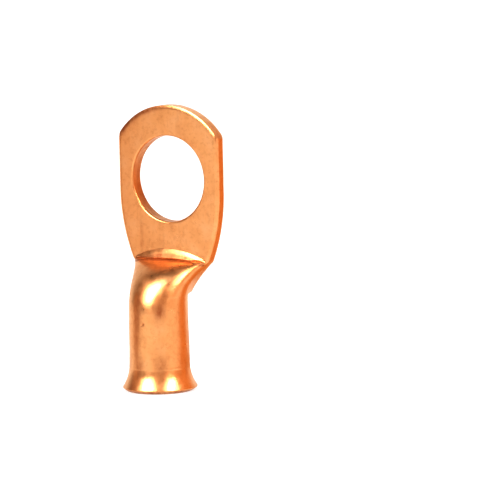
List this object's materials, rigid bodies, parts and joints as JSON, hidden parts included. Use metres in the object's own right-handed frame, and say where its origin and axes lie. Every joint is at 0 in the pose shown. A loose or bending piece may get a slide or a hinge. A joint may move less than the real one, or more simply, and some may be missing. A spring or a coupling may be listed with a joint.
{
  "type": "cable lug",
  "caption": "Copper cable lug pressed from tube: flat palm with a round stud hole, offset neck and a wire barrel with a bell mouth.",
  "frame": {"origin": "on the wire barrel's axis, in the plane of its mouth, on which it stands", "axes": "+Z along the barrel from the mouth to the palm, +Y out of the palm's back face, +X across the palm"},
  "size_m": [0.019, 0.0118, 0.0443],
  "materials": {
    "copper": "bare drawn copper, lightly tumbled, with faint tool marks and small pits"
  },
  "bodies": {
    "root": {"lug": "copper"}
  },
  "joints": []
}
